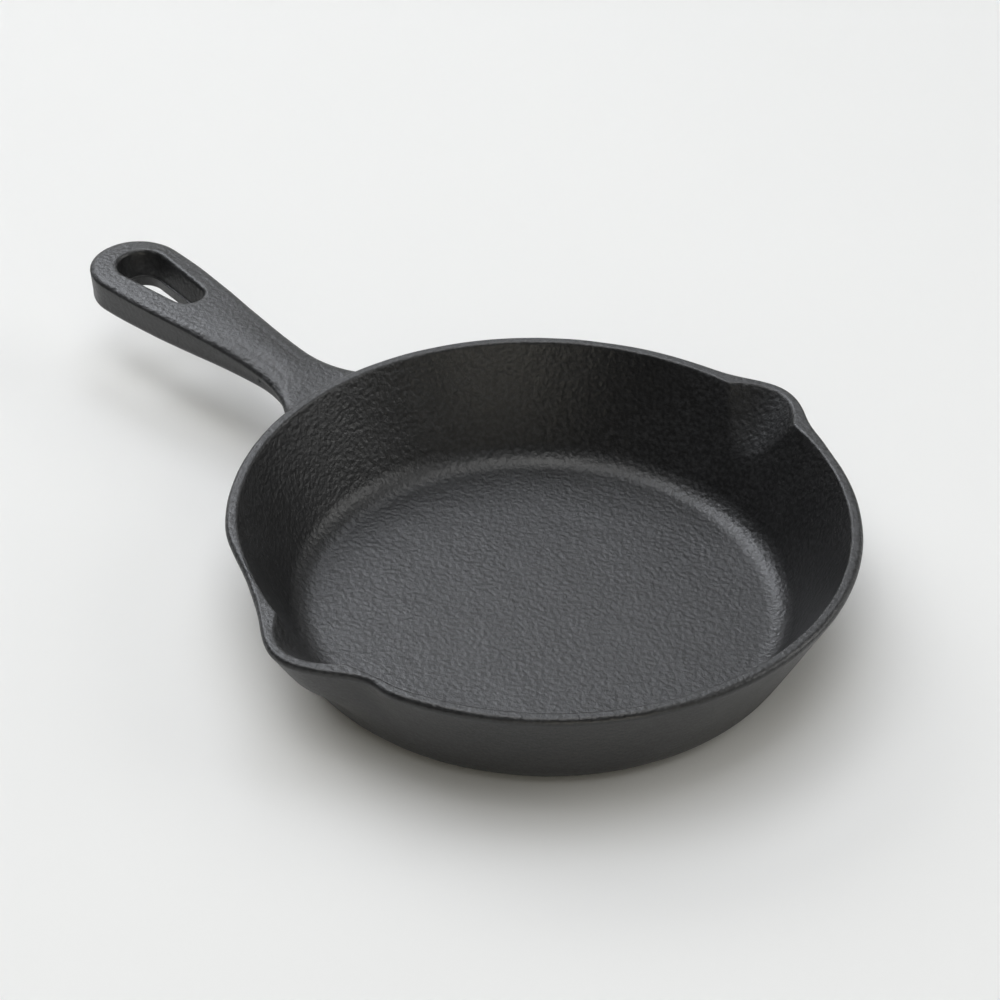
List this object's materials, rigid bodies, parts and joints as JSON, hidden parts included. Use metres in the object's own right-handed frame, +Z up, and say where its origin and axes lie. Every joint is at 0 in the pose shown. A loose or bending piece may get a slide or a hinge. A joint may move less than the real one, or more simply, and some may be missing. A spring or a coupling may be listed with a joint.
{
  "type": "cast iron skillet",
  "caption": "Small round cast iron skillet with a flat floor, outward-leaning wall, opposed pour spouts and a short handle ending in a teardrop hanging eye.",
  "frame": {"origin": "centre of the flat underside of the pan, on the surface it stands on", "axes": "+Z up, out of the open pan; +X out along the handle; +Y to the right of someone who holds the handle and looks at the pan"},
  "size_m": [0.2453, 0.1669, 0.0341],
  "materials": {
    "cast_iron": "seasoned black sand-cast iron, semi-matt, fine grain"
  },
  "bodies": {
    "root": {"pan_floor": "cast_iron", "pan_heel": "cast_iron", "side_wall": "cast_iron", "rim_lip": "cast_iron", "pour_spout_left": "cast_iron", "pour_spout_right": "cast_iron", "handle_root": "cast_iron", "handle_grip": "cast_iron", "hanging_eye": "cast_iron"}
  },
  "joints": []
}
